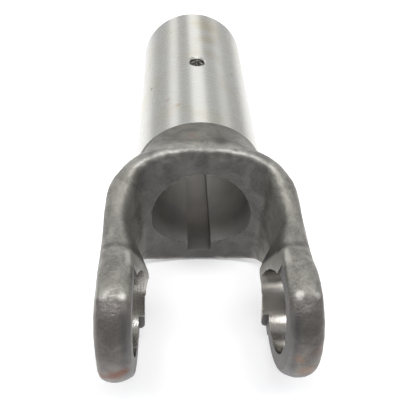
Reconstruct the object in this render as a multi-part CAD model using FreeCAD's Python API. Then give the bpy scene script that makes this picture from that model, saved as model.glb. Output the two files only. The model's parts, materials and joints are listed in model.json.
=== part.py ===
"""Forged yoke: a two-armed fork forged in one piece with a keyed barrel.

Millimetres. The origin is where the barrel axis crosses the axis of the two
cross bores. +X runs along the cross bores, +Y along the barrel away from the
fork, +Z up as the yoke lies on a table, with the keyway at the bottom. The
forging was parted in the plane z = 0, so its faces draft away from it.
"""
import FreeCAD, Part
import math
import os

V = FreeCAD.Vector
X_AXIS = V(1, 0, 0)
Y_AXIS = V(0, 1, 0)
Z_AXIS = V(0, 0, 1)
ORIGIN = V(0, 0, 0)

# Shaft side: barrel, shaft bore, keyway and set-screw hole.
SHAFT_BORE_DIA = 38.1
BARREL_DIA = 52.2
BARREL_START_Y = 67.4       # here the ground barrel leaves the forged skin
BARREL_END_Y = 163.4
BARREL_CHAMFER = 1.2
SHAFT_BORE_CHAMFER = 0.8
KEY_WIDTH = 9.525
KEYWAY_FLOOR = 23.35        # from the barrel axis down to the keyway floor
SET_SCREW_DIA = 9.525
SET_SCREW_PITCH = 1.5875
SET_SCREW_Y = 113.9

# Cross side: the ears, their bores and the machined inner flats.
CROSS_BORE_DIA = 27.0
CROSS_BORE_CHAMFER = 0.6
FLAT_GAP = 45.8             # between the machined inner faces of the ears
FLAT_END_Y = 6.0            # the machining stops here, on the throat side
EAR_WIDTH = 68.8            # over the outer faces of the ears, at the bores
EAR_DIA = 42.0              # crowned rim of the ear about the cross axis
EAR_INNER_DROP = 1.2        # the crown falls by this much at the inner flat
EAR_OUTER_DROP = 0.8        # and by this much at its outer corner
EAR_CORNER_SET = 1.0        # the outer corner sits in from the outer face
EAR_ROUND = 1.8

# Outside of the forged fork.
FORK_HALF_WIDTH = 35.6
HUB_HALF_HEIGHT = 30.0
ARM_HALF_HEIGHT = 19.3
ARM_INSET = 0.2             # the arms sit in from the shoulders
ARM_TAPER = 0.04            # draft of the outer faces, as a share of the width
COLLAR_SWELL = 0.25         # the forged skin stands proud of the ground barrel

# Inside of the forged fork: the gap between the arms. Drafts are run per rise.
THROAT_Y = 43.9             # throat face on the parting plane, at the middle
THROAT_SIDE_Y = 40.2        # the same at the corners beside the arms
THROAT_DRAFT = 0.075
CORNER_HALF = 23.0
CORNER_RUN = 4.0            # the corner's bend reaches this far along the throat
CREST_HALF = 19.1           # the arms come closest on the parting plane
CREST_Y = 18.0
CREST_DRAFT_TOP = 0.21
CREST_DRAFT_LOW = 0.09
CREST_SHIFT = 0.35          # the crest line leans towards the tips off the plane
CREST_LEAD = 4.0            # the wall runs straight until this far before the crest
SCOOP_HALF = 24.2           # deepest point of the scoop behind each ear
SCOOP_Y = 26.0
SCOOP_DRAFT = 0.19
SCOOP_LIP_HALF = 23.6       # where the scoop ends towards the throat
SCOOP_LIP_DRAFT = 0.07
SCOOP_LIP_Y = 36.5
GAP_ROUND = 1.5             # rounding along the rims of the gap

# Lengths that only have to reach past the body.
REACH = 4.0
GAP_HEIGHT = HUB_HALF_HEIGHT + REACH
GAP_START_Y = REACH / 2 - EAR_DIA
SECTION_POINTS = 40


def section(y, half_w, half_h, power, taper):
    """Closed smooth section of the forging in the plane at y."""
    points = []
    for i in range(SECTION_POINTS):
        t = 2.0 * math.pi * i / SECTION_POINTS
        c = math.cos(t)
        s = math.sin(t)
        k = (abs(c) ** power + abs(s) ** power) ** (-1.0 / power)
        draft = 1.0 - taper * abs(s * k)
        points.append(V(half_w * c * k * draft, y, half_h * s * k))
    shares = [i / SECTION_POINTS for i in range(SECTION_POINTS + 1)]
    curve = Part.BSplineCurve()
    curve.interpolate(Points=points, PeriodicFlag=True, Parameters=shares)
    return Part.Wire(curve.toShape())


def fork_outside():
    """Loft from the round collar over the square shoulders to the arms."""
    r = BARREL_DIA / 2 + COLLAR_SWELL
    w = FORK_HALF_WIDTH
    h = HUB_HALF_HEIGHT
    n = ARM_HALF_HEIGHT
    a = FORK_HALF_WIDTH - ARM_INSET
    d = ARM_TAPER
    stretch = BARREL_START_Y / 67.4     # the stations are laid out for a start at 67.4
    stations = [
        (67.4, r, r, 2.0, 0.0),
        (62.0, r + 0.3, r + 1.2, 2.02, 0.0),
        (57.0, r + 1.1, r + 2.3, 2.15, 0.0),
        (52.5, r + 3.3, h - 0.5, 2.5, 0.0),
        (48.5, r + 6.2, h, 3.0, 0.1 * d),
        (44.5, w - 1.6, h - 1.1, 3.7, 0.2 * d),
        (40.5, w - 0.5, h - 4.0, 4.8, 0.4 * d),
        (36.0, w - 0.1, h - 7.4, 6.2, 0.6 * d),
        (31.0, w, n + 0.9, 7.8, 0.8 * d),
        (26.0, w, n + 0.1, 9.0, d),
        (21.0, w - 0.1, n - 0.2, 9.5, d),
        (17.0, a, n - 0.3, 10.0, d),
        (12.0, a, n + 0.1, 10.0, d),
        (7.0, a, n + 0.6, 10.0, d),
        (2.0, a, n + 1.0, 10.0, d),
    ]
    wires = []
    for y, half_w, half_h, power, taper in stations:
        wires.append(section(y * stretch, half_w, half_h, power, taper))
    return Part.makeLoft(wires, True, False)


def gap_outline(z, crest_draft):
    """Plan of the gap at height z, one smooth curve closed past the tips."""
    rise = abs(z)
    crest = CREST_HALF + crest_draft * rise
    crest_y = CREST_Y - CREST_SHIFT * rise
    scoop = SCOOP_HALF + SCOOP_DRAFT * rise
    lip = SCOOP_LIP_HALF + SCOOP_LIP_DRAFT * rise
    side_y = THROAT_SIDE_Y + THROAT_DRAFT * rise
    mid_y = THROAT_Y + THROAT_DRAFT * rise
    right = [
        V(crest, GAP_START_Y, z),
        V(crest, GAP_START_Y / 2, z),
        V(crest, GAP_START_Y / 10, z),
        V(crest, crest_y - CREST_LEAD, z),
        V(crest + 0.35, crest_y + 0.3, z),
        V((crest + scoop) / 2 + 0.4, (crest_y + SCOOP_Y) / 2, z),
        V(scoop, SCOOP_Y, z),
        V((scoop + lip) / 2 + 0.4, (SCOOP_Y + SCOOP_LIP_Y) / 2 + 0.6, z),
        V(lip - 0.1, SCOOP_LIP_Y, z),
        V(CORNER_HALF - 0.8, side_y - 0.6, z),
        V(CORNER_HALF - CORNER_RUN, side_y + CORNER_RUN / 4, z),
        V(CORNER_HALF / 2, (side_y + 3.0 * mid_y) / 4, z),
    ]
    left = [V(-p.x, p.y, p.z) for p in reversed(right)]
    curve = Part.BSplineCurve()
    curve.interpolate(right + [V(0, mid_y, z)] + left)
    return Part.Wire([curve.toShape(), Part.makeLine(left[-1], right[0])])


def gap_tools():
    """Upper and lower half of the gap, drafted away from the parting plane."""
    halves = []
    for end, draft in ((GAP_HEIGHT, CREST_DRAFT_TOP), (-GAP_HEIGHT, CREST_DRAFT_LOW)):
        wires = [gap_outline(0.0, draft), gap_outline(end, draft)]
        halves.append(Part.makeLoft(wires, True, True))
    return halves


def forging():
    """The forged fork cut by its gap, with the two long rims rounded."""
    body = fork_outside().cut(gap_tools())
    rims = []
    for edge in body.Edges:
        centre = edge.CenterOfMass
        if edge.Length > 2.0 * BARREL_DIA and 5.0 < abs(centre.z):
            rims.append(edge)
    return body.makeFillet(GAP_ROUND, rims)


def ear(side):
    """Crowned disc of one ear, turned about the cross axis."""
    inner = FLAT_GAP / 2
    outer = EAR_WIDTH / 2
    r = EAR_DIA / 2
    bore_r = CROSS_BORE_DIA / 2
    q = EAR_ROUND
    bend = q * math.sqrt(0.5)
    low = r - EAR_INNER_DROP
    high = r - EAR_OUTER_DROP
    corner_x = outer - EAR_CORNER_SET
    inner_round = Part.Arc(
        V(inner, low - q, 0),
        V(inner + q - bend, low - q + bend, 0),
        V(inner + q, low, 0),
    )
    crown = Part.Arc(
        V(inner + q, low, 0),
        V((inner + outer) / 2, r, 0),
        V(corner_x - q, high, 0),
    )
    outer_round = Part.Arc(
        V(corner_x - q, high, 0),
        V(corner_x - q + bend, high - q + bend, 0),
        V(corner_x, high - q, 0),
    )
    edges = [
        Part.makeLine(V(inner, 0, 0), V(inner, low - q, 0)),
        inner_round.toShape(),
        crown.toShape(),
        outer_round.toShape(),
        Part.makeLine(V(corner_x, high - q, 0), V(outer, bore_r, 0)),
        Part.makeLine(V(outer, bore_r, 0), V(outer, 0, 0)),
        Part.makeLine(V(outer, 0, 0), V(inner, 0, 0)),
    ]
    disc = Part.Face(Part.Wire(edges)).revolve(ORIGIN, X_AXIS, 360)
    if side < 0:
        disc = disc.mirror(ORIGIN, X_AXIS)
    return disc


def barrel():
    """Ground barrel, reaching back into the hub, chamfered at its far rim."""
    start = BARREL_START_Y - BARREL_DIA / 5
    solid = Part.makeCylinder(BARREL_DIA / 2, BARREL_END_Y - start, V(0, start, 0), Y_AXIS)
    rims = []
    for edge in solid.Edges:
        if edge.Closed and abs(edge.CenterOfMass.y - BARREL_END_Y) < 0.01:
            rims.append(edge)
    return solid.makeChamfer(BARREL_CHAMFER, rims)


def machining():
    """Everything that is milled, bored, broached or drilled away."""
    half_gap = FLAT_GAP / 2
    bore_r = SHAFT_BORE_DIA / 2
    cross_r = CROSS_BORE_DIA / 2
    outer = EAR_WIDTH / 2
    c = SHAFT_BORE_CHAMFER
    e = CROSS_BORE_CHAMFER
    length = BARREL_END_Y + REACH
    tools = [
        Part.makeBox(FLAT_GAP, EAR_DIA + FLAT_END_Y, 2.0 * EAR_DIA, V(-half_gap, -EAR_DIA, -EAR_DIA)),
        Part.makeCylinder(bore_r, length, ORIGIN, Y_AXIS),
        Part.makeCone(bore_r, bore_r + 2.0 * c, 2.0 * c, V(0, BARREL_END_Y - c, 0), Y_AXIS),
        Part.makeBox(KEY_WIDTH, length, KEYWAY_FLOOR, V(-KEY_WIDTH / 2, 0, -KEYWAY_FLOOR)),
        Part.makeCylinder(cross_r, 2.0 * (outer + REACH), V(-outer - REACH, 0, 0), X_AXIS),
        Part.makeCone(cross_r, cross_r + 2.0 * e, 2.0 * e, V(outer - e, 0, 0), X_AXIS),
        Part.makeCone(cross_r, cross_r + 2.0 * e, 2.0 * e, V(e - outer, 0, 0), -X_AXIS),
    ]
    tap_drill = (SET_SCREW_DIA - SET_SCREW_PITCH) / 2
    tools.append(Part.makeCylinder(tap_drill, BARREL_DIA, V(0, SET_SCREW_Y, 0), Z_AXIS))
    return tools


def build():
    body = forging()
    body = body.fuse([ear(+1), ear(-1), barrel()])
    body = body.cut(machining())
    return body.removeSplitter()


os.makedirs("parts", exist_ok=True)
yoke = build()
print("valid", yoke.isValid(), "solids", len(yoke.Solids), "cm3", round(yoke.Volume / 1000.0, 2))
yoke.exportStep("parts/yoke.step")
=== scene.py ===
# %% [markdown]
# # A forged yoke, as it was made
# The real yoke is one piece of steel. It was forged red hot between two dies, which
# gave it a rough dark skin, and then machined where another part has to fit. This
# script follows the same order: a rough forging first, then clean cuts, then the
# finishes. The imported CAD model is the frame: its shape is copied, and the copy is
# dressed, while the CAD object itself stays as it is.

# %% Load the frame
import bpy
import bmesh
import json
import math
import numpy as np
from mathutils import Matrix, Vector, noise


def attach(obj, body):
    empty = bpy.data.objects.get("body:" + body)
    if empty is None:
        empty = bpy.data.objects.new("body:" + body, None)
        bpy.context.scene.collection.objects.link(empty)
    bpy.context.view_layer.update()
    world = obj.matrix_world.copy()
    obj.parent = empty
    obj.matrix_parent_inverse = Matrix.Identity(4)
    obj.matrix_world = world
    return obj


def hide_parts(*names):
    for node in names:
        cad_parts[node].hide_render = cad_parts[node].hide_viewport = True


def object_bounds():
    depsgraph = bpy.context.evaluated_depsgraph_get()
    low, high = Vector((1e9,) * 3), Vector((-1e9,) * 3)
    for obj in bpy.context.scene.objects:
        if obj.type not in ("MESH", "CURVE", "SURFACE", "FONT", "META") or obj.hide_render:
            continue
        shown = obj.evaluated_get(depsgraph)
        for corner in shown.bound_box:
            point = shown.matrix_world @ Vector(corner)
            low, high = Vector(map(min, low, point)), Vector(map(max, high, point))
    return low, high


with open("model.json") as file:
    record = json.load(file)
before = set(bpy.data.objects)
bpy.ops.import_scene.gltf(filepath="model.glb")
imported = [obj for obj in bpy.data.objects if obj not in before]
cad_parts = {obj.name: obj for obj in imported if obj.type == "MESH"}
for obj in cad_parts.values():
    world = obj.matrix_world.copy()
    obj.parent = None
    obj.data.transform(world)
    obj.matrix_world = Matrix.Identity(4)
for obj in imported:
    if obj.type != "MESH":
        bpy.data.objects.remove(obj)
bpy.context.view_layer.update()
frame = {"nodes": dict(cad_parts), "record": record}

MM = 0.001

# %% [markdown]
# ## Sizes that the cuts need
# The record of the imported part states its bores, so their radii and places are read
# from it. The keyway, the flats and the collar are not mounts, so they are named here
# once, in millimetres, as they are in the part's source. The last six values are the
# scene's own. The set-screw hole is drawn a little narrower than its tap drill, because
# its countersink and its thread make it look wider. Each ear's crown has a crease at
# `CROWN_EDGE`, and each arm a groove at `GROOVE_Y`. Every cutter is larger than nominal
# by a hair, `SKIM`, and those that only have to reach past the part go to `BEYOND`.

# %% Read the sizes
mounts = {m["name"]: m for m in frame["record"]["mounts"]}
CROSS_R = mounts["cross_bore"]["dims"]["r_mm"]
SHAFT_R = mounts["shaft_bore"]["dims"]["r_mm"]
SCREW_Y = mounts["set_screw_hole"]["pos_m"][1] / MM
BARREL_END = mounts["barrel_end"]["pos_m"][1] / MM
COLLAR_END = 67.4
BARREL_R = 26.1
KEY_HALF = 4.76
KEY_FLOOR = 23.35
FLAT_HALF = 22.9
FLAT_END = 6.0
SCREW_R = 3.4
SCREW_PITCH = 1.5875
CROWN_EDGE = -6.5
GROOVE_Y = 13.4
SKIM = 0.08
BEYOND = 60
print("cross bore", CROSS_R, "shaft bore", SHAFT_R, "barrel ends at", round(BARREL_END, 2))

# %% [markdown]
# ## Helpers for the workshop
# A modifier is only a recipe until it is applied. `settle` turns the recipe into plain
# mesh, and `cut` takes a tool away from a piece as a machine would. The Manifold solver
# is quick and exact on closed meshes like these.

# %% Cut and settle
def settle(piece):
    """Gives a piece the mesh that its modifiers make."""
    graph = bpy.context.evaluated_depsgraph_get()
    shaped = bpy.data.meshes.new_from_object(piece.evaluated_get(graph))
    piece.modifiers.clear()
    piece.data = shaped


def new_piece(name, mesh):
    piece = bpy.data.objects.new(name, mesh)
    bpy.context.collection.objects.link(piece)
    return piece


def cut(piece, cutter):
    step = piece.modifiers.new("cut", "BOOLEAN")
    step.operation = "DIFFERENCE"
    step.solver = "MANIFOLD"
    step.object = cutter
    settle(piece)
    bpy.data.objects.remove(cutter)


def smooth_except_corners(piece, degrees):
    """Shades a piece smooth, and keeps edges sharp that bend more than this."""
    piece.data.polygons.foreach_set("use_smooth", [True] * len(piece.data.polygons))
    piece.data.set_sharp_from_angle(angle=math.radians(degrees))


print("cut and settle ready")

# %% [markdown]
# ## Tools and turned solids
# The cutters are a box and a round bar. A lathe makes a body of revolution, so `turned`
# sweeps a profile about the Y axis. All their sizes are in millimetres.

# %% Make the tools
def tool_from(work, name):
    mesh = bpy.data.meshes.new(name)
    work.to_mesh(mesh)
    work.free()
    return new_piece(name, mesh)


def box_tool(low, high):
    work = bmesh.new()
    bmesh.ops.create_cube(work, size=1.0)
    for v in work.verts:
        v.co = Vector([(low[i] if v.co[i] < 0 else high[i]) * MM for i in range(3)])
    return tool_from(work, "box tool")


def round_tool(axis, radius, low, high, segments=192, flare=0.0):
    """Round bar along X, Y or Z. A flare widens its upper end."""
    work = bmesh.new()
    bmesh.ops.create_cone(work, cap_ends=True, segments=segments, radius1=radius * MM,
                          radius2=(radius + flare) * MM, depth=(high - low) * MM)
    turn = {"X": Matrix.Rotation(math.pi / 2, 4, "Y"), "Y": Matrix.Rotation(-math.pi / 2, 4, "X"),
            "Z": Matrix.Identity(4)}[axis]
    shift = Vector([(low + high) / 2 * MM if name == axis else 0.0 for name in "XYZ"])
    bmesh.ops.transform(work, matrix=Matrix.Translation(shift) @ turn, verts=work.verts)
    return tool_from(work, "round tool")


def broach(start, end):
    """The cutter of the keyway, along Y."""
    half, floor_z = KEY_HALF + SKIM, -KEY_FLOOR - SKIM
    return box_tool((-half, start, floor_z), (half, end, 0))


def closed_piece(name, points, faces):
    """A closed piece whose faces all look outward."""
    mesh = bpy.data.meshes.new(name)
    mesh.from_pydata(points, [], faces)
    work = bmesh.new()
    work.from_mesh(mesh)
    bmesh.ops.recalc_face_normals(work, faces=work.faces)
    work.to_mesh(mesh)
    work.free()
    return new_piece(name, mesh)


def turned(name, profile, segments=256):
    """Closed solid turned about the Y axis from (along, radius) pairs."""
    rings = len(profile)
    points, faces = [], []
    for along, radius in profile:
        for i in range(segments):
            t = 2.0 * math.pi * i / segments
            points.append(Vector((radius * math.sin(t), along, radius * math.cos(t))) * MM)
    for k in range(rings):
        n = (k + 1) % rings
        for i in range(segments):
            j = (i + 1) % segments
            faces.append((k * segments + i, k * segments + j, n * segments + j, n * segments + i))
    return closed_piece(name, points, faces)


print("tools ready")

# %% [markdown]
# ## The raw forging
# A forging has no perfectly flat face: scale, die wear and trimming leave it slightly
# uneven, and that unevenness is what catches the light. The CAD mesh has long thin
# triangles that could not bend to show it. So a copy is welded and remeshed into small
# even squares. The barrel is cut off that copy first, because it is turned later. A
# few millimetres, `SPARE`, are left beyond the collar and are milled off at the end.

# %% Remesh a copy of the CAD yoke
WELD = 0.001
VOXEL = 0.62
SPARE = 4


def welded_copy(node, name):
    mesh = frame["nodes"][node].data.copy()
    work = bmesh.new()
    work.from_mesh(mesh)
    bmesh.ops.remove_doubles(work, verts=work.verts, dist=WELD * MM)
    work.to_mesh(mesh)
    work.free()
    return new_piece(name, mesh)


forging = welded_copy("yoke", "forging")
cut(forging, box_tool((-BEYOND, COLLAR_END + SPARE, -BEYOND), (BEYOND, BARREL_END + 20, BEYOND)))
grid = forging.modifiers.new("grid", "REMESH")
grid.mode = "VOXEL"
grid.voxel_size = VOXEL * MM
settle(forging)
print("forging has", len(forging.data.vertices), "points")

# %% [markdown]
# ## Which skin was never machined
# Only the forged skin may move. `raw_skin` gives each point a number from 0, on a
# machined face, to 1, on the raw skin, with a narrow soft border between them. It
# measures how far a point lies from the nearest machined face: the cross bores, the
# flats of the ears and the step behind them, the shaft bore, the keyway or the collar.

# %% Mark the raw skin
BORE_FROM = 36.0
NO_FACE_NEAR = 9.0


def read(collection, label, width, kind):
    """One value or vector of every item of a mesh, as an array."""
    flat = np.empty(len(collection) * width, dtype=kind)
    collection.foreach_get(label, flat)
    return flat.reshape(-1, width) if width > 1 else flat


def points_of(piece):
    """All points of a piece, in millimetres."""
    return read(piece.data.vertices, "co", 3, np.float64) / MM


def fade(values, start, run):
    """0 up to the start, and 1 from one run further on. A run below 0 fades downwards."""
    return np.clip((values - start) / run, 0.0, 1.0)


def raw_skin(points):
    x, y, z = np.abs(points[:, 0]), points[:, 1], points[:, 2]
    in_bore = y > BORE_FROM
    in_key = in_bore & (x < KEY_HALF + 1.5) & (z < -15.0) & (z > -KEY_FLOOR - 1.5)
    gaps = [
        (x > 17.0, np.abs(np.hypot(y, z) - CROSS_R)),
        ((y < FLAT_END + 1.0) & (x < FLAT_HALF + 1.2), np.abs(x - FLAT_HALF)),
        ((y < FLAT_END + 3.0) & (x < FLAT_HALF + 0.6), np.abs(y - FLAT_END)),
        (in_bore, np.maximum(0.0, np.hypot(x, z) - SHAFT_R)),
        (in_key | (y > COLLAR_END - 1.0), 0.0),
    ]
    away = np.full(len(points), NO_FACE_NEAR)
    for there, gap in gaps:
        away = np.where(there, np.minimum(away, gap), away)
    return fade(away, 0.25, 1.0)


skin = raw_skin(points_of(forging))
print("share of raw skin", round(float((skin > 0.5).mean()), 3))

# %% [markdown]
# ## Relax the creases and find what stands out
# Dies are cut with rounded corners, so the crease between an arm and its ear is soft.
# Averaging each point with its neighbours a few times gives that. The same averaging
# also tells where a ridge is: a point on a ridge stands above the mean of its
# surroundings, and the more rounds are averaged, the wider those surroundings are.

# %% Relax the skin
STEP = 0.6
RELAX_ROUNDS = 9
NARROW, WIDE = 16, 36


def neighbours_mean(piece, points, weight, rounds):
    """Moves points towards the mean of their neighbours, as far as their weight lets them."""
    edges = read(piece.data.edges, "vertices", 2, np.int64)
    count = np.bincount(edges.ravel(), minlength=len(points)).astype(float)
    for _ in range(rounds):
        total = np.zeros_like(points)
        for axis in range(3):
            total[:, axis] = (np.bincount(edges[:, 0], points[edges[:, 1], axis], len(points))
                              + np.bincount(edges[:, 1], points[edges[:, 0], axis], len(points)))
        mean = total / count[:, None]
        points = points + (mean - points) * weight[:, None] * STEP
    return points


def move_to(piece, points):
    """Moves a piece's points, and returns the normals that they then have."""
    piece.data.vertices.foreach_set("co", (points * MM).ravel())
    piece.data.update()
    return np.array([v.normal[:] for v in piece.data.vertices])


def ridge_height(piece, points, rounds):
    """How far each point stands above the mean of its surroundings."""
    normals = move_to(piece, points)
    mean = neighbours_mean(piece, points, np.ones(len(points)), rounds)
    return np.einsum("ij,ij->i", points - mean, normals)


relaxed = neighbours_mean(forging, points_of(forging), skin, RELAX_ROUNDS)
stands = ridge_height(forging, relaxed, NARROW)
print("sharpest ridge stands", round(float(stands.max()), 3), "mm above its surroundings")

# %% [markdown]
# ## Round the long rims
# The rims along the arms and over the hub are rounder on the real piece than in the
# solids, where they have one small radius. Many more rounds of averaging, on the upper
# rims alone, round them off and hardly touch the flat sides. The hub keeps a little
# more of its rim.

# %% Round the rims
RIM_ROUNDS = 60
RIM_ACROSS = 31.0
RIM_START, RIM_END, RIM_FADE = 11.0, 54.0, 3.0
SPREAD_ROUNDS, SPREAD_GAIN = 8, 1.6
HUB_FROM, HUB_SHARE = 42.0, 0.75

across, along = np.abs(relaxed[:, 0]), relaxed[:, 1]
rim = skin * fade(stands, 0.02, 0.08) * (across < RIM_ACROSS) * (relaxed[:, 2] > 0.0)
rim *= fade(along, RIM_START, RIM_FADE) * fade(along, RIM_END, -RIM_FADE)
as_points = np.repeat(rim[:, None], 3, axis=1)
rim = neighbours_mean(forging, as_points, np.ones(len(rim)), SPREAD_ROUNDS)[:, 0]
rim = skin * np.clip(rim * SPREAD_GAIN, 0.0, 1.0) * np.where(along > HUB_FROM, HUB_SHARE, 1.0)
relaxed = neighbours_mean(forging, relaxed, rim, RIM_ROUNDS)
print("share of points on the rims", round(float((rim > 0.5).mean()), 3))

# %% [markdown]
# ## Bring the lower lip forward
# Under the bore, the real hub's lip reaches a little further into the fork than the
# solids' lip does. Its points are shifted forward, less and less towards its sides,
# its top and its back.

# %% Shift the lower lip
LIP_SHIFT = 1.5
LIP_TOP, LIP_BACK, LIP_FADE = -17.0, 62.0, 12.0
LIP_HALF = 24.0

side_share = np.clip(1.0 - (relaxed[:, 0] / LIP_HALF) ** 4, 0.0, 1.0)
low_lip = fade(relaxed[:, 2], LIP_TOP, -LIP_FADE) * side_share
relaxed[:, 1] -= LIP_SHIFT * low_lip * fade(relaxed[:, 1], LIP_BACK, -LIP_FADE)
normals = move_to(forging, relaxed)
print("points on the lower lip", int((low_lip > 0.5).sum()))

# %% [markdown]
# ## Roughen the skin
# Noise moves points along their normals: broad swells from the dies, finer lumps and
# the grain of the scale. A few dents show where the piece was knocked. Each arm has a
# shallow groove across it, and each ear's crown has a faint crease.

# %% Roughen the skin
BUMPS = [
    # how often it repeats per mm, where its pattern starts, height in mm
    (0.11, (0, 0, 0), 0.17),
    (0.42, (5, 0, 0), 0.085),
    (1.15, (0, 9, 0), 0.045),
]
DENTS = [
    # place in mm, radius, depth
    ((6.4, 53.2, 28.6), 4.2, 0.50),
    ((3.6, 56.8, 28.2), 3.0, 0.30),
    ((-9.0, 55.0, 28.2), 3.2, 0.25),
    ((33.8, 22.0, 19.0), 3.0, 0.40),
    ((-33.6, 30.0, 20.0), 3.6, 0.35),
    ((28.0, 12.0, 20.0), 4.0, 0.22),
    ((-28.5, 16.0, 19.6), 3.4, 0.22),
]
GROOVE_DEPTH, GROOVE_WIDTH = 0.16, 0.9
CREASE_LIFT, CREASE_BEHIND, CREASE_BEFORE = 0.34, 3.5, 2.2

noise.seed_set(7)
lift = np.empty(len(relaxed))
for i, p in enumerate(relaxed):
    lift[i] = sum(noise.noise(Vector(p) * often + Vector(start)) * height
                  for often, start, height in BUMPS)
for place, radius, depth in DENTS:
    reach = np.linalg.norm(relaxed - np.array(place), axis=1) / radius
    lift -= depth * np.clip(1.0 - reach ** 2, 0.0, 1.0) ** 2
on_arm = (relaxed[:, 2] > 15.0) & (np.abs(relaxed[:, 0]) > 21.0)
lift -= GROOVE_DEPTH * on_arm * np.exp(-((relaxed[:, 1] - GROOVE_Y) / GROOVE_WIDTH) ** 2)
on_crown = fade(normals[:, 2], 0.4, 0.3) * (np.abs(relaxed[:, 0]) > FLAT_HALF)
past = relaxed[:, 1] - CROWN_EDGE
lift += CREASE_LIFT * on_crown * np.exp(-np.abs(past) / np.where(past > 0.0, CREASE_BEHIND, CREASE_BEFORE))
roughened = relaxed + normals * (lift * skin)[:, None]
print("skin moved by up to", round(float(np.abs(lift * skin).max()), 3), "mm")

# %% [markdown]
# ## Remember the ridges
# Later the finish needs to know where the piece is rubbed and where a highlight is painted,
# which is on its ridges. So the ridge height, over wider surroundings, is kept on the mesh as an
# attribute that a shader can read.

# %% Store the ridge height
stands = ridge_height(forging, roughened, WIDE)
ridge = forging.data.attributes.new("ridge", "FLOAT", "POINT")
ridge.data.foreach_set("value", stands.astype(np.float32))
print("ridge height from", round(float(stands.min()), 3), "to", round(float(stands.max()), 3), "mm")

# %% [markdown]
# ## Machine the forging
# Now the cutters take their thin shaving off every machined face, so those faces come
# out true and their edges crisp, while the skin around them stays rough. The cutters
# are a hair larger than nominal, so that nothing of the remeshed wall is left.

# %% Bore, broach and mill
TOOL_FROM, TOOL_TO = 20, COLLAR_END + 30
cut(forging, round_tool("Y", SHAFT_R + SKIM, TOOL_FROM, TOOL_TO))
cut(forging, broach(TOOL_FROM, TOOL_TO))
cut(forging, round_tool("X", CROSS_R + SKIM, -50, 50))
cut(forging, box_tool((-FLAT_HALF - SKIM, -BEYOND, -BEYOND), (FLAT_HALF + SKIM, FLAT_END + SKIM, BEYOND)))
cut(forging, box_tool((-BEYOND, COLLAR_END, -BEYOND), (BEYOND, COLLAR_END + 40, BEYOND)))
smooth_except_corners(forging, 38)
print("machined forging has", len(forging.data.polygons), "faces")

# %% [markdown]
# ## The ground barrel
# The barrel was turned and ground, so it is a body of revolution: a ring profile swept
# about the Y axis, with a rounded chamfer at its far end. Its keyway is cut afterwards.
# So is the set-screw hole, under a small countersink. The two rings in the middle only
# keep its faces from being as long as the whole barrel.

# %% Turn the barrel
CHAMFER, CHAMFER_DROP = 1.4, 1.15
BREAK, BREAK_DROP = 0.9, 0.25
MOUTH_CHAMFER, MOUTH_STEP = 0.8, 0.85
HOLE_SIDES = 96
SINK_BELOW, SINK_ABOVE, SINK_FLARE = 0.75, 1.25, 3.4

barrel = turned("barrel", [
    (COLLAR_END, SHAFT_R + SKIM),
    (COLLAR_END, BARREL_R),
    (COLLAR_END + 30, BARREL_R),
    (BARREL_END - 32, BARREL_R),
    (BARREL_END - CHAMFER, BARREL_R),
    (BARREL_END - BREAK, BARREL_R - BREAK_DROP),
    (BARREL_END, BARREL_R - CHAMFER_DROP),
    (BARREL_END, SHAFT_R + MOUTH_STEP),
    (BARREL_END - MOUTH_CHAMFER, SHAFT_R + SKIM),
])
cut(barrel, broach(COLLAR_END - 5, BARREL_END + 5))
hole = round_tool("Z", SCREW_R, 0, 40, segments=HOLE_SIDES)
mouth = round_tool("Z", SCREW_R - 0.2, BARREL_R - SINK_BELOW, BARREL_R + SINK_ABOVE,
                   segments=HOLE_SIDES, flare=SINK_FLARE)
for drill in (hole, mouth):
    drill.data.transform(Matrix.Translation((0, SCREW_Y * MM, 0)))
    cut(barrel, drill)
smooth_except_corners(barrel, 25)
print("barrel has", len(barrel.data.polygons), "faces")

# %% [markdown]
# ## The thread of the set-screw hole
# A thread is a ridge wound round the hole. Each turn climbs by one pitch. The ridge is
# a strip with three sides, whose foot lies in the drilled wall and whose crest stands
# in from it.

# %% Wind the thread
STEPS_PER_TURN = 64
FOOT_IN_WALL = 0.15
FOOT_SHARE, CREST_SHARE, HEIGHT_SHARE = 0.86, 0.43, 0.24


def wound_thread(name, radius, pitch, low, high):
    turns = int((high - low) / pitch)
    section = ((FOOT_IN_WALL, 0.0), (FOOT_IN_WALL, pitch * FOOT_SHARE),
               (-HEIGHT_SHARE * pitch, pitch * CREST_SHARE))
    points, faces = [], []
    for i in range(STEPS_PER_TURN * turns + 1):
        t = 2.0 * math.pi * i / STEPS_PER_TURN
        rise = low + pitch * i / STEPS_PER_TURN
        for out, up in section:
            r = radius + out
            points.append(Vector((r * math.cos(t), SCREW_Y + r * math.sin(t), rise + up)) * MM)
    for i in range(STEPS_PER_TURN * turns):
        for k in range(3):
            a, b = 3 * i + k, 3 * i + (k + 1) % 3
            faces.append((a, b, b + 3, a + 3))
    last = STEPS_PER_TURN * turns * 3
    faces.append((0, 2, 1))
    faces.append((last, last + 1, last + 2))
    return closed_piece(name, points, faces)


thread = wound_thread("set_screw_thread", SCREW_R, SCREW_PITCH, SHAFT_R + 0.3, BARREL_R - 0.9)
print("thread has", len(thread.data.polygons), "faces")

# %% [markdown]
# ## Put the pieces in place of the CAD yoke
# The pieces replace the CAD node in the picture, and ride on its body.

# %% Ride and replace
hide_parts("yoke")
for piece in (forging, barrel, thread):
    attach(piece, "root")
print("pieces:", [p.name for p in (forging, barrel, thread)])

# %% [markdown]
# ## Shader helpers
# A material is a graph of nodes. `node` places one, with its settings and its inputs,
# and an input takes either a plain value or the output of another node. The others
# each wrap one kind of node, so that the recipes below read as lists.

# %% Node helpers
def put(tree, socket, value):
    """Gives an input a plain value, or links it to an output."""
    if isinstance(value, bpy.types.NodeSocket):
        tree.links.new(value, socket)
    else:
        socket.default_value = value


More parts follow.
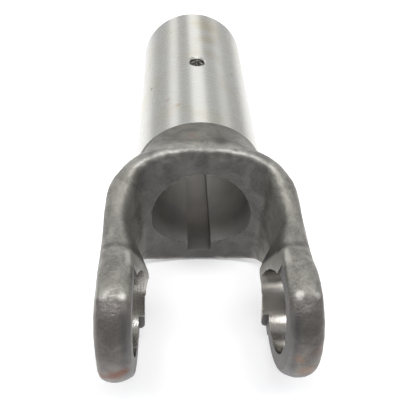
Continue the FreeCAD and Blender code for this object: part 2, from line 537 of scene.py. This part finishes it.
def node(tree, kind, inputs=None, **settings):
    made = tree.nodes.new(kind)
    for key, value in settings.items():
        setattr(made, key, value)
    for key, value in (inputs or {}).items():
        put(tree, made.inputs[key], value)
    return made


def group(name, ins, outs):
    tree = bpy.data.node_groups.new(name, "ShaderNodeTree")
    for label, kind, value in ins:
        socket = tree.interface.new_socket(label, in_out="INPUT", socket_type=kind)
        socket.default_value = value
    for label, kind in outs:
        tree.interface.new_socket(label, in_out="OUTPUT", socket_type=kind)
    return tree, tree.nodes.new("NodeGroupInput"), tree.nodes.new("NodeGroupOutput")


def slope(tree, source, low, high, at_low, at_high):
    """A straight change from one value to another while the source goes from low to high."""
    return node(tree, "ShaderNodeMapRange", {0: source, 1: low, 2: high, 3: at_low, 4: at_high}).outputs[0]


def ramp(tree, source, low, high):
    """A mask that rises softly from 0 to 1 while the source goes from low to high."""
    return node(tree, "ShaderNodeMapRange", {0: source, 1: low, 2: high},
                interpolation_type="SMOOTHSTEP").outputs[0]


def maths(tree, operation, *sources):
    return node(tree, "ShaderNodeMath", dict(enumerate(sources)), operation=operation).outputs[0]


def vector_maths(tree, operation, *sources):
    made = node(tree, "ShaderNodeVectorMath", dict(enumerate(sources)), operation=operation)
    one_number = operation in ("DISTANCE", "LENGTH", "DOT_PRODUCT")
    return made.outputs["Value" if one_number else "Vector"]


def noise_map(tree, spot, scale, detail, roughness, distortion=0.0):
    return node(tree, "ShaderNodeTexNoise", {"Vector": spot, "Scale": scale, "Detail": detail,
                "Roughness": roughness, "Distortion": distortion}).outputs[0]


def blend_colour(tree, factor, first, second):
    return node(tree, "ShaderNodeMix", {0: factor, 6: first, 7: second}, data_type="RGBA").outputs[2]


print("node helpers ready")

# %% [markdown]
# ## Helpers for masks and layers
# Finishes are painted in layers. Each layer has a mask that says where it lies, a
# strength and a tint. Places are measured in object space, in millimetres, so that a
# mask keeps its size and moves with the piece.

# %% Mask helpers
def material(name):
    made = bpy.data.materials.new(name)
    made.use_nodes = True
    return made, made.node_tree, made.node_tree.nodes["Principled BSDF"]


def place_mm(tree):
    """The place that is shaded, in the piece's own millimetres."""
    metres = node(tree, "ShaderNodeTexCoord").outputs["Object"]
    return node(tree, "ShaderNodeVectorMath", {0: metres, 3: 1.0 / MM}, operation="SCALE").outputs[0]


def all_of(tree, first, *others):
    """A mask that is there only where all of these masks are."""
    for other in others:
        first = maths(tree, "MULTIPLY", first, other)
    return first


def near(tree, spot, place, radius):
    """A round mask about a place, which fades out at its radius."""
    return ramp(tree, vector_maths(tree, "DISTANCE", spot, place), radius, radius * 0.1)


def laid_over(tree, colour, mask, strength, tint):
    """A colour with a tint over it, where the mask is and as thick as the strength."""
    return blend_colour(tree, maths(tree, "MULTIPLY", mask, strength), colour, tint)


print("mask helpers ready")

# %% [markdown]
# ## Group: mottle
# Forge scale comes off in patches, so the skin is never one grey. Two noises, one
# broad and one fine, and small cells for pits give masks in object space, in
# millimetres, so their size is the same on every face.

# %% Build the mottle group
FLOAT = "NodeSocketFloat"
mottle, m_in, m_out = group("mottle", [("Patch mm", FLOAT, 9.0), ("Grain mm", FLOAT, 0.8)],
                            [("Patch", FLOAT), ("Grain", FLOAT), ("Pits", FLOAT)])
spot = place_mm(mottle)
patch_scale = maths(mottle, "DIVIDE", 1.0, m_in.outputs["Patch mm"])
grain_scale = maths(mottle, "DIVIDE", 1.0, m_in.outputs["Grain mm"])
broad = noise_map(mottle, spot, patch_scale, 5.0, 0.62, 0.8)
fine = noise_map(mottle, spot, grain_scale, 3.0, 0.6)
pit_scale = maths(mottle, "MULTIPLY", grain_scale, 0.45)
cells = node(mottle, "ShaderNodeTexVoronoi", {"Vector": spot, "Scale": pit_scale})
put(mottle, m_out.inputs["Patch"], ramp(mottle, broad, 0.33, 0.67))
put(mottle, m_out.inputs["Grain"], fine)
put(mottle, m_out.inputs["Pits"], ramp(mottle, cells.outputs["Distance"], 0.22, 0.05))
print("group", mottle.name)

# %% [markdown]
# ## Group: worn edges
# Handling rubs the scale off the edges first. The Bevel node gives the normal that a
# rounded edge would have. Where it turns away from the true normal there is an edge.

# %% Build the edge group
edges, e_in, e_out = group("worn edges", [("Width", FLOAT, 0.001), ("Reach", FLOAT, 0.06)],
                           [("Mask", FLOAT)])
rounded = node(edges, "ShaderNodeBevel", {"Radius": e_in.outputs["Width"]}, samples=6).outputs[0]
true = node(edges, "ShaderNodeNewGeometry").outputs["Normal"]
agree = vector_maths(edges, "DOT_PRODUCT", rounded, true)
turned_away = maths(edges, "SUBTRACT", 1.0, agree)
share = maths(edges, "DIVIDE", turned_away, e_in.outputs["Reach"])
put(edges, e_out.inputs["Mask"], maths(edges, "MINIMUM", share, 1.0))
print("group", edges.name)

# %% [markdown]
# ## Forged skin: the scale
# The forged steel is dark grey scale with lighter patches and pale grains. Patches
# and grains come from the mottle group, and everything else is laid over them.

# %% Start the forged skin
SCALE_DARK = (0.147, 0.140, 0.125, 1)
SCALE_LIGHT = (0.29, 0.28, 0.25, 1)
GRAIN_LIGHT = (0.40, 0.38, 0.34, 1)
EDGE_WIDTH = 0.0011

forged, tree, shader = material("forged skin")
marks = node(tree, "ShaderNodeGroup", node_tree=mottle)
wear = node(tree, "ShaderNodeGroup", node_tree=edges)
wear.inputs["Width"].default_value = EDGE_WIDTH
spot = place_mm(tree)
xyz = node(tree, "ShaderNodeSeparateXYZ", {0: spot})
x, y, z = xyz.outputs
colour = blend_colour(tree, marks.outputs["Patch"], SCALE_DARK, SCALE_LIGHT)
colour = laid_over(tree, colour, ramp(tree, marks.outputs["Grain"], 0.35, 0.7), 0.35, GRAIN_LIGHT)
print("scale", SCALE_DARK[:3], "to", SCALE_LIGHT[:3])

# %% [markdown]
# ## Forged skin: where it is darker and lighter
# Between the arms a painted shade darkens the skin, where the real fork lies in shade, and a little more so
# low down. The sloping facets behind the milled flats are the lightest. The back of the
# hub, the tips beyond the crowns' creases and the inner sides of the tips are darker
# again. Each mask fades in from the first to the second of its two values, in
# millimetres. The bend behind an ear leans, so its masks use the height as well.

# %% Shade the forged skin
INSIDE_ARMS, BEHIND_BEND, BEFORE_HUB = (25.0, 21.0), (17.0, 19.5), (45.6, 44.8)
FACET_SIDE, BEFORE_BEND, BEHIND_FLAT = (26.0, 24.0), (19.0, 17.0), (3.0, 6.5)
HUB_BACK, TIP = (49.0, 53.0), (CROWN_EDGE + 0.4, CROWN_EDGE - 1.2)
TIP_INSIDE, TIP_FRONT = (26.5, 24.5), (-8.0, -13.0)
BEND_LEAN, THROAT_LEAN = 0.35, 0.1

side = maths(tree, "ABSOLUTE", x)
off_plane = maths(tree, "ABSOLUTE", z)
bend = maths(tree, "ADD", y, maths(tree, "MULTIPLY", off_plane, BEND_LEAN))
throat = maths(tree, "SUBTRACT", y, maths(tree, "MULTIPLY", off_plane, THROAT_LEAN))
# The first mask below is painted shade between the arms. The first layer lays it on, and deeper low down.
painted_shade_between = all_of(tree, ramp(tree, side, *INSIDE_ARMS), ramp(tree, bend, *BEHIND_BEND),
                 ramp(tree, throat, *BEFORE_HUB))
facet = all_of(tree, ramp(tree, side, *FACET_SIDE), ramp(tree, bend, *BEFORE_BEND),
               ramp(tree, y, *BEHIND_FLAT))
inner_tip = all_of(tree, ramp(tree, side, *TIP_INSIDE), ramp(tree, y, *TIP_FRONT))
LAYERS = [
    # mask, strength, tint
    (painted_shade_between, slope(tree, z, -5.0, -25.0, 0.70, 0.81), (0.07, 0.067, 0.068, 1)),
    (facet, 0.90, (0.48, 0.46, 0.42, 1)),
    (ramp(tree, y, *HUB_BACK), 0.53, (0.085, 0.078, 0.06, 1)),
    (ramp(tree, y, *TIP), 0.60, (0.105, 0.092, 0.09, 1)),
    (inner_tip, 0.85, (0.105, 0.097, 0.10, 1)),
]
for mask, strength, tint in LAYERS:
    colour = laid_over(tree, colour, mask, strength, tint)
print("layers", len(LAYERS))

# %% [markdown]
# ## Forged skin: rust, painted highlights, darker patches and painted shade
# Rust has bloomed on the ears' tips. The bright spots on the crowns' creases are painted highlights,
# and a few patches are darker. A ragged noise eats into each spot, because no stain or highlight has
# a round outline. The same noise breaks up the painted shade line in the groove of each arm.

# %% Spot the forged skin
RUST = (0.12, 0.030, 0.008, 1)
TAN = (0.25, 0.14, 0.075, 1)
PAINTED_HIGHLIGHT = (0.60, 0.585, 0.55, 1)
SPOTS = [
    # place in mm, radius, strength, colour
    ((-27.8, -20.5, 0.0), 5.0, 0.95, RUST),
    ((-25.4, -20.2, 0.8), 3.8, 0.80, RUST),
    ((-31.6, -20.2, -1.4), 4.6, 0.80, RUST),
    ((26.1, -19.9, 5.3), 3.0, 0.45, TAN),
    ((29.1, -20.6, 0.1), 5.4, 0.55, TAN),
    ((31.8, -18.9, 8.1), 4.6, 0.25, RUST),
    ((24.3, 29.2, 18.0), 2.2, 0.70, RUST),
    ((-27.8, 31.2, 23.0), 8.5, 0.70, (0.12, 0.115, 0.10, 1)),
    ((-30.8, 23.5, 19.8), 5.0, 0.45, (0.12, 0.115, 0.105, 1)),
    ((-28.9, -2.2, 19.6), 6.0, 0.40, (0.13, 0.118, 0.108, 1)),
    # The next four spots are painted highlights on the crowns' creases.
    ((-25.4, -6.4, 19.5), 2.4, 0.90, PAINTED_HIGHLIGHT),
    ((-30.6, -6.4, 19.4), 2.8, 0.30, PAINTED_HIGHLIGHT),
    ((25.8, -6.8, 19.4), 2.5, 0.70, PAINTED_HIGHLIGHT),
    ((31.1, -7.0, 19.2), 2.2, 0.70, PAINTED_HIGHLIGHT),
    ((-3.8, 56.0, 28.0), 3.4, 0.40, (0.22, 0.13, 0.09, 1)),
    ((6.4, 53.4, 28.0), 5.2, 0.55, (0.07, 0.065, 0.055, 1)),
]
GROOVE_SHADE_TINT, GROOVE_SHADE_STRENGTH = (0.09, 0.088, 0.08, 1), 0.75
GROOVE_SHADE_WIDTH, ARM_TOP = (1.9, 0.3), (13.0, 16.0)

ragged = noise_map(tree, spot, 0.3, 3.0, 0.5)
ragged = maths(tree, "MULTIPLY", maths(tree, "SUBTRACT", ragged, 0.5), 1.2)
for place, radius, strength, tint in SPOTS:
    mark = near(tree, spot, place, radius)
    mark = all_of(tree, mark, ramp(tree, maths(tree, "ADD", mark, ragged), 0.0, 0.85))
    colour = laid_over(tree, colour, mark, strength, tint)
# Painted shade: a dark line laid along the groove of each arm, where the crease lies in shade.
from_groove = maths(tree, "ABSOLUTE", maths(tree, "SUBTRACT", y, GROOVE_Y))
groove_shade = all_of(tree, ramp(tree, from_groove, *GROOVE_SHADE_WIDTH), ramp(tree, z, *ARM_TOP),
              ramp(tree, ragged, -0.35, 0.15))
colour = laid_over(tree, colour, groove_shade, GROOVE_SHADE_STRENGTH, GROOVE_SHADE_TINT)
print("spots", len(SPOTS))

# %% [markdown]
# ## Forged skin: rubbed ridges and painted highlights
# The ridge attribute tells where the piece stands out, and there it is painted bright: partly
# rubbed steel and partly a painted highlight of the lamp above, most on the hub and less towards
# the ears. The bore's mouth and the keyway's corners stand out as well, but get neither, so they
# are spared. The worn-edge mask adds a very faint line on the sharp edges.

# %% Rub the ridges
ON_RIDGE, TOWARDS_HUB = (0.10, 0.50), (36.0, 45.0)
OFF_MOUTH, OFF_KEY = (SHAFT_R + 1.5, SHAFT_R + 4.5), (6.5, 9.5)
RUBBED_AND_HIGHLIGHT_TINT, RUBBED_AND_HIGHLIGHT_STRENGTH, EDGE_SHARE = (0.60, 0.585, 0.54, 1), 0.70, 0.08

stands_out = node(tree, "ShaderNodeAttribute", attribute_name="ridge").outputs["Fac"]
towards_hub = slope(tree, y, *TOWARDS_HUB, 0.15, 1.0)
seen_along = vector_maths(tree, "MULTIPLY", spot, (1.0, 0.0, 1.0))
from_axis = vector_maths(tree, "LENGTH", seen_along)
from_key = vector_maths(tree, "DISTANCE", seen_along, (0.0, 0.0, -KEY_FLOOR))
not_spared = all_of(tree, ramp(tree, from_axis, *OFF_MOUTH), ramp(tree, from_key, *OFF_KEY))
worn_away = maths(tree, "ADD", 0.80, maths(tree, "MULTIPLY", ragged, 1.2))
# This mask is partly rubbed steel and partly a painted highlight along the rims.
rubbed_and_highlight = all_of(tree, ramp(tree, stands_out, *ON_RIDGE), towards_hub, not_spared, worn_away)
rubbed_and_highlight = maths(tree, "MAXIMUM", rubbed_and_highlight, maths(tree, "MULTIPLY", wear.outputs["Mask"], EDGE_SHARE))
colour = laid_over(tree, colour, rubbed_and_highlight, RUBBED_AND_HIGHLIGHT_STRENGTH, RUBBED_AND_HIGHLIGHT_TINT)
put(tree, shader.inputs["Base Color"], colour)
print("ridges rubbed from", ON_RIDGE[0], "to", ON_RIDGE[1], "mm")

# %% [markdown]
# ## Forged skin: roughness and bump
# Roughness and bump come from the same masks as the colour, so that they tell the same
# story. Lighter patches are a little smoother, and the backs of the arms are duller.

# %% Finish the forged skin
SKIN_ROUGH, PATCH_SMOOTHER, ARM_DULLER, RUBBED_DULLER = 0.50, 0.12, 0.13, 0.06
ARM_START, ARM_STOP = (20.0, 26.0), (42.0, 36.0)
SKIN_METALLIC, PIT_DEPTH = 0.7, 0.35
SKIN_BUMP, SKIN_BUMP_DEPTH = 0.55, 0.00022

rough = maths(tree, "SUBTRACT", SKIN_ROUGH, maths(tree, "MULTIPLY", marks.outputs["Patch"], PATCH_SMOOTHER))
dull = all_of(tree, ramp(tree, y, *ARM_START), ramp(tree, y, *ARM_STOP))
rough = maths(tree, "ADD", rough, maths(tree, "MULTIPLY", dull, ARM_DULLER))
rough = maths(tree, "ADD", rough, maths(tree, "MULTIPLY", rubbed_and_highlight, RUBBED_DULLER))
put(tree, shader.inputs["Roughness"], rough)
put(tree, shader.inputs["Metallic"], SKIN_METALLIC)
pits = maths(tree, "MULTIPLY", marks.outputs["Pits"], PIT_DEPTH)
height = maths(tree, "SUBTRACT", marks.outputs["Grain"], pits)
bump = node(tree, "ShaderNodeBump", {"Height": height, "Strength": SKIN_BUMP, "Distance": SKIN_BUMP_DEPTH})
put(tree, shader.inputs["Normal"], bump.outputs[0])
print("material", forged.name)

# %% [markdown]
# ## Group: ring marks
# Grinding leaves fine rings round the barrel, and boring leaves them round each bore.
# One group makes such rings about any axis: the place is squeezed across the rings
# before it goes into the noise. A second, cloudy noise tells where the steel is stained.

# %% Build the ring-mark group
rings, r_in, r_out = group("ring marks", [("Along mm", "NodeSocketVector", (0, 0, 0))],
                           [("Marks", FLOAT), ("Stain", FLOAT)])
streak = noise_map(rings, r_in.outputs["Along mm"], 2.6, 5.0, 0.75)
cloud = noise_map(rings, place_mm(rings), 0.06, 4.0, 0.55)
put(rings, r_out.inputs["Marks"], streak)
put(rings, r_out.inputs["Stain"], ramp(rings, cloud, 0.42, 0.68))
print("group", rings.name)

# %% [markdown]
# ## Bright steels
# Five finishes share one recipe: ground outside the barrel, bored in the ears, milled
# on their flats, and a dark-mouthed one in the shaft bore and in its keyway. `squeeze` is how
# much of each axis goes into the ring marks. In the shaft bore and the keyway a painted
# shade darkens the steel towards the mouth in the hub.

# %% Recipe for bright steel
MOUTH_SHADE_TINT = (0.07, 0.07, 0.07, 1)
MOUTH_SHADE_FADE = (66.0, 46.0)
RING_BUMP, FINE_RINGS, COARSE_RINGS = 0.25, 0.000012, 0.0002


def bright_steel(name, squeeze, clean, stained, rough, metallic,
                 ring_depth=FINE_RINGS, mouth_shade=0.0, spots=()):
    made, tree, shader = material(name)
    spot = place_mm(tree)
    along = vector_maths(tree, "MULTIPLY", spot, squeeze)
    marks = node(tree, "ShaderNodeGroup", {0: along}, node_tree=rings)
    tint = blend_colour(tree, marks.outputs["Stain"], clean, stained)
    depth = node(tree, "ShaderNodeSeparateXYZ", {0: spot}).outputs["Y"]
    # Painted shade: the steel darkens towards the bore's mouth in the hub.
    tint = laid_over(tree, tint, ramp(tree, depth, *MOUTH_SHADE_FADE), mouth_shade, MOUTH_SHADE_TINT)
    for place, radius, strength, spot_tint in spots:
        tint = laid_over(tree, tint, near(tree, spot, place, radius), strength, spot_tint)
    put(tree, shader.inputs["Base Color"], tint)
    put(tree, shader.inputs["Roughness"], slope(tree, marks.outputs["Marks"], 0.3, 0.7, *rough))
    put(tree, shader.inputs["Metallic"], metallic)
    bump = node(tree, "ShaderNodeBump", {"Height": marks.outputs["Marks"],
                "Strength": RING_BUMP, "Distance": ring_depth})
    put(tree, shader.inputs["Normal"], bump.outputs[0])
    return made


print("recipe ready, oil fades over", MOUTH_SHADE_FADE, "mm")

# %% [markdown]
# ## The five bright steels
# The ground barrel also has a few stains along its top, small rust marks and one dark
# pit, each at its own place.

# %% Mix the bright steels
STAIN = (0.46, 0.41, 0.29, 1)
BARREL_SPOTS = [
    # place in mm, radius, strength, colour
    ((6.0, 150.0, 25.4), 9.0, 0.55, STAIN),
    ((6.2, 136.0, 25.4), 8.0, 0.60, STAIN),
    ((6.5, 122.0, 25.4), 7.0, 0.40, STAIN),
    ((-22.4, 130.9, 13.5), 1.6, 0.35, (0.35, 0.20, 0.16, 1)),
    ((15.7, 111.4, 20.9), 1.6, 0.35, (0.42, 0.30, 0.20, 1)),
    ((-8.9, 81.4, 24.5), 1.8, 0.40, (0.38, 0.29, 0.18, 1)),
    ((-13.0, 87.7, 22.7), 1.8, 0.35, (0.38, 0.26, 0.20, 1)),
    ((-20.6, 106.2, 16.1), 1.1, 0.95, (0.05, 0.025, 0.02, 1)),
]
ground = bright_steel("ground steel", (0.02, 1.0, 0.02), clean=(0.565, 0.56, 0.53, 1),
                      stained=(0.55, 0.53, 0.46, 1), rough=(0.20, 0.32), metallic=1.0,
                      spots=BARREL_SPOTS)
bored = bright_steel("bored steel", (1.0, 0.05, 0.05), clean=(0.53, 0.515, 0.49, 1),
                     stained=(0.45, 0.43, 0.40, 1), rough=(0.15, 0.25), metallic=1.0,
                     ring_depth=COARSE_RINGS)
milled = bright_steel("milled steel", (0.3, 0.3, 0.3), clean=(0.15, 0.143, 0.138, 1),
                      stained=(0.12, 0.114, 0.11, 1), rough=(0.45, 0.6), metallic=0.7)
dark_mouthed = bright_steel("oiled bore", (0.05, 1.0, 0.05), clean=(0.70, 0.69, 0.66, 1),
                     stained=(0.60, 0.58, 0.58, 1), rough=(0.40, 0.55), metallic=0.75,
                     mouth_shade=0.46)
keyed = bright_steel("keyway steel", (0.3, 0.05, 0.3), clean=(0.62, 0.60, 0.56, 1),
                     stained=(0.54, 0.51, 0.49, 1), rough=(0.45, 0.6), metallic=0.75,
                     mouth_shade=0.74)
print("materials", [made.name for made in (ground, bored, milled, dark_mouthed, keyed)])

# %% [markdown]
# ## Sort the faces
# A face gets its finish from where it lies: on a bore's wall, on a milled flat, or
# anywhere else. The test is done with the middles of the faces, all at once. A face
# lies on a machined surface if its middle is within a few hundredths of a millimetre
# of it.

# %% Sort the faces
OUTSIDE, CROSS, FLAT, SHAFT, KEY, END = range(6)
ON_FLAT, ON_ROUND = 0.03, 0.05


def face_middles(piece):
    return read(piece.data.polygons, "center", 3, np.float64) / MM


def close_to(values, target, tolerance):
    return np.abs(values - target) < tolerance


def forging_kinds(piece):
    """Raw skin outside, cross bores, milled flats, shaft bore and keyway."""
    x, y, z = face_middles(piece).T
    x = np.abs(x)
    kinds = np.full(len(x), OUTSIDE, dtype=np.int32)
    flats = close_to(x, FLAT_HALF + SKIM, ON_FLAT) & (y < FLAT_END + 0.2)
    step = close_to(y, FLAT_END + SKIM, ON_FLAT) & (x < FLAT_HALF + 0.2)
    kinds[flats | step] = FLAT
    kinds[close_to(np.hypot(y, z), CROSS_R + SKIM, ON_ROUND) & (x > 16)] = CROSS
    kinds[close_to(np.hypot(x, z), SHAFT_R + SKIM, ON_ROUND) & (y > BORE_FROM)] = SHAFT
    key = (x < KEY_HALF + SKIM + ON_FLAT) & (z < -18.0) & (z > -KEY_FLOOR - SKIM - ON_FLAT) & (y > 40)
    key &= close_to(x, KEY_HALF + SKIM, ON_FLAT) | close_to(z, -KEY_FLOOR - SKIM, ON_FLAT)
    kinds[key] = KEY
    return kinds


def barrel_kinds(piece):
    """Ground outside, shaft bore, keyway, and the end face, chamfers and screw hole."""
    x, y, z = face_middles(piece).T
    about = np.hypot(x, z)
    kinds = np.full(len(x), END, dtype=np.int32)
    kinds[close_to(about, BARREL_R, ON_FLAT)] = OUTSIDE
    kinds[close_to(about, SHAFT_R + SKIM, ON_ROUND)] = SHAFT
    key = (np.abs(x) < KEY_HALF + 0.2) & (z < -17.0) & (y < BARREL_END - 0.01)
    kinds[key & (about < KEY_FLOOR + 1.2) & (about > SHAFT_R + 0.12)] = KEY
    return kinds


kinds = {piece.name: sort(piece) for piece, sort in ((forging, forging_kinds), (barrel, barrel_kinds))}
print("kinds found:", {name: np.unique(found).tolist() for name, found in kinds.items()})

# %% [markdown]
# ## Give each face its finish
# A machined wall should reflect like a true cylinder or a true plane, however its faces
# were cut up. So the round kinds get normals that point straight from their axis, and
# the level kinds get the normals of their faces. The skin keeps its own.

# %% Assign the finishes
ROUND_X, ROUND_Y = (0, 1, 1), (1, 0, 1)


def give_finishes(piece, kinds, finishes, round_kinds):
    """Puts one material on each kind of face, and true normals on the machined ones."""
    mesh = piece.data
    mesh.materials.clear()
    slots = sorted({finish.name for finish in finishes.values()})
    for name in slots:
        mesh.materials.append(bpy.data.materials[name])
    index = np.array([slots.index(finishes[k].name) for k in kinds], dtype=np.int32)
    mesh.polygons.foreach_set("material_index", index)
    face = np.repeat(np.arange(len(mesh.polygons)), read(mesh.polygons, "loop_total", 1, np.int32))
    kind = kinds[face]
    flat = read(mesh.polygons, "normal", 3, np.float32)[face]
    normal = read(mesh.corner_normals, "vector", 3, np.float32)
    at = points_of(piece)[read(mesh.loops, "vertex_index", 1, np.int32)]
    for what, keep in round_kinds.items():
        radial = at * np.array(keep)
        radial /= np.maximum(np.linalg.norm(radial, axis=1), 1e-6)[:, None]
        radial *= np.sign(np.einsum("ij,ij->i", radial, flat))[:, None]
        chosen = kind == what
        normal[chosen] = radial[chosen]
    level = (kind == FLAT) | (kind == KEY)
    normal[level] = flat[level]
    mesh.normals_split_custom_set(normal.tolist())
    return dict(zip(*[v.tolist() for v in np.unique(kinds, return_counts=True)]))


print("forging faces of each kind", give_finishes(
    forging, kinds["forging"], {OUTSIDE: forged, CROSS: bored, FLAT: milled, SHAFT: dark_mouthed, KEY: keyed},
    {CROSS: ROUND_X, SHAFT: ROUND_Y}))
print("barrel faces of each kind", give_finishes(
    barrel, kinds["barrel"], {OUTSIDE: ground, SHAFT: dark_mouthed, KEY: keyed, END: ground},
    {SHAFT: ROUND_Y, OUTSIDE: ROUND_Y}))
thread.data.materials.append(bored)

# %% [markdown]
# ## Camera
# The photograph's view was worked out from the round mouths of the bores, whose true
# sizes are known: a place in millimetres, three turns and a focal length in pixels.

# %% Set the camera
CAMERA_MM = (-11.059, -83.820, 136.316)
PITCH, YAW, ROLL = 0.797, 0.105, 0.074
FOCAL_PX, WIDTH_PX = 480.546, 416
NEAREST = 0.005

forward = Vector((math.sin(YAW) * math.cos(PITCH), math.cos(YAW) * math.cos(PITCH), -math.sin(PITCH)))
level = Vector((math.cos(YAW), -math.sin(YAW), 0.0))
upward = level.cross(forward)
right = level * math.cos(ROLL) + upward * math.sin(ROLL)
top = upward * math.cos(ROLL) - level * math.sin(ROLL)
lens = bpy.data.cameras.new("camera")
lens.sensor_width = 36.0
lens.lens = FOCAL_PX * lens.sensor_width / WIDTH_PX
lens.clip_start = NEAREST
camera = bpy.data.objects.new("camera", lens)
bpy.context.collection.objects.link(camera)
stand = Matrix((right, top, -forward)).transposed().to_4x4()
stand.translation = Vector(CAMERA_MM) * MM
camera.matrix_world = stand
bpy.context.scene.camera = camera
print("lens", round(lens.lens, 2), "mm")

# %% [markdown]
# ## The white table
# The yoke lies on a white table. To the camera and in reflections the floor glows, so
# it comes out white, yet it still takes the yoke's shadow. The glow grows with the
# distance until the floor meets the white behind it. It is weaker under the hub and
# under the ears, where the real table is shaded by the steel just above it. All these
# distances are in metres on the floor itself, so they do not follow the camera.

# %% Lay the floor
FLOOR_SIZE = 6.0
TABLE, TABLE_ROUGH = (0.82, 0.82, 0.82, 1), 0.9
GLOW = (0.44, 0.44, 0.45, 1)
MIRRORED_FADE = (0.55, 0.12)
HUB_PLACE, HUB_FADE, HUB_SHADE = (0.0, 0.062, 0.0), (0.030, 0.012), 0.65
EAR_PLACE, EAR_FADE, EAR_SHADE = (0.028, 0.006, 0.0), (0.036, 0.010), 0.22

scene = bpy.context.scene
scene.view_settings.view_transform = "Standard"
floor_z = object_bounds()[0][2]
bpy.ops.mesh.primitive_plane_add(size=FLOOR_SIZE, location=(0, 0, floor_z))
floor = bpy.context.object
floor.name = "floor"
white, tree, shader = material("white table")
put(tree, shader.inputs["Base Color"], TABLE)
put(tree, shader.inputs["Roughness"], TABLE_ROUGH)
path = node(tree, "ShaderNodeLightPath")
spot = node(tree, "ShaderNodeTexCoord").outputs["Object"]
reach = vector_maths(tree, "LENGTH", spot)
mirrored = maths(tree, "MAXIMUM", path.outputs["Is Glossy Ray"], path.outputs["Is Transmission Ray"])
mirrored = maths(tree, "MULTIPLY", mirrored, ramp(tree, reach, *MIRRORED_FADE))
far = slope(tree, reach, 0.3, 2.0, 1.0, 1.4)
from_hub = vector_maths(tree, "DISTANCE", spot, HUB_PLACE)
under_hub = maths(tree, "MULTIPLY", ramp(tree, from_hub, *HUB_FADE), HUB_SHADE)
from_ear = vector_maths(tree, "DISTANCE", vector_maths(tree, "ABSOLUTE", spot), EAR_PLACE)
under_ear = maths(tree, "MULTIPLY", ramp(tree, from_ear, *EAR_FADE), EAR_SHADE)
glow = maths(tree, "SUBTRACT", maths(tree, "SUBTRACT", far, under_hub), under_ear)
seen = maths(tree, "MAXIMUM", maths(tree, "MULTIPLY", path.outputs["Is Camera Ray"], glow), mirrored)
put(tree, shader.inputs["Emission Strength"], seen)
put(tree, shader.inputs["Emission Color"], GLOW)
floor.data.materials.append(white)
print("floor at", round(floor_z / MM, 2), "mm")

# %% [markdown]
# ## The pale room
# Steel shows what stands around it. The room is paler behind the yoke than in front of
# it, the photographer leans over the table as a soft dark shape, and both sides are a
# little dim. To the camera itself the room is plain white.

# %% Paint the room
SKY = (0.97, 0.98, 1.0, 1)
FRONT_WALL, BACK_WALL = 0.30, 0.66
PERSON_WAY, PERSON_EDGE, PERSON_DARK = (0.0, -0.72, 0.69), (0.66, 0.92), 0.75
RIGHT_SIDE, LEFT_SIDE, SIDE_DIM = (0.45, 0.90), (-0.80, -0.97), 0.22

world = bpy.data.worlds.new("pale room")
scene.world = world
world.use_nodes = True
tree = world.node_tree
sky = tree.nodes["Background"]
put(tree, sky.inputs["Color"], SKY)
look = node(tree, "ShaderNodeTexCoord").outputs["Generated"]
towards = node(tree, "ShaderNodeSeparateXYZ", {0: look})
room = slope(tree, towards.outputs["Y"], -0.75, 0.15, FRONT_WALL, BACK_WALL)
person = vector_maths(tree, "DOT_PRODUCT", look, Vector(PERSON_WAY).normalized())
person = maths(tree, "MULTIPLY", ramp(tree, person, *PERSON_EDGE), PERSON_DARK)
room = maths(tree, "MULTIPLY", room, maths(tree, "SUBTRACT", 1.0, person))
sides = maths(tree, "ADD", ramp(tree, towards.outputs["X"], *RIGHT_SIDE),
              ramp(tree, towards.outputs["X"], *LEFT_SIDE))
sides = maths(tree, "MULTIPLY", sides, SIDE_DIM)
room = maths(tree, "MULTIPLY", room, maths(tree, "SUBTRACT", 1.0, sides))
path = node(tree, "ShaderNodeLightPath")
brightness = node(tree, "ShaderNodeMix", {0: path.outputs["Is Camera Ray"], 2: room, 3: 1.0})
put(tree, sky.inputs["Strength"], brightness.outputs[0])
print("room from", FRONT_WALL, "in front to", BACK_WALL, "behind")

# %% [markdown]
# ## Lamps
# The lamps are long strips above the barrel, because their reflections are the stripes
# on it, and one stronger lamp above the fork, which makes the shadow. A strip's
# brightness in a reflection is its radiance, so its power is worked out from that and
# its area, and a strip can be widened without getting dimmer.

# %% Hang the lamps
POWER_PER_RADIANCE = 4.0
LAMPS = [
    # name, x from and to, y from and to, height, all in metres, and radiance
    ("middle strip", -0.125, 0.225, 0.35, 4.0, 0.7, 0.66),
    ("left strip", -1.06, -0.53, 0.3, 4.0, 0.7, 0.60),
    ("right strip", 0.72, 1.42, 0.3, 4.0, 0.7, 0.32),
    ("ceiling lamp", -0.70, 0.60, -0.18, 0.03, 0.8, 6.0),
]


def lamp_panel(name, x_low, x_high, y_low, y_high, height, radiance):
    lamp = bpy.data.lights.new(name, "AREA")
    lamp.shape = "RECTANGLE"
    lamp.size = x_high - x_low
    lamp.size_y = y_high - y_low
    lamp.energy = radiance * POWER_PER_RADIANCE * lamp.size * lamp.size_y
    made = bpy.data.objects.new(name, lamp)
    bpy.context.collection.objects.link(made)
    made.location = ((x_low + x_high) / 2, (y_low + y_high) / 2, height)
    return lamp.energy


print("lamp powers", [round(lamp_panel(*row), 2) for row in LAMPS])
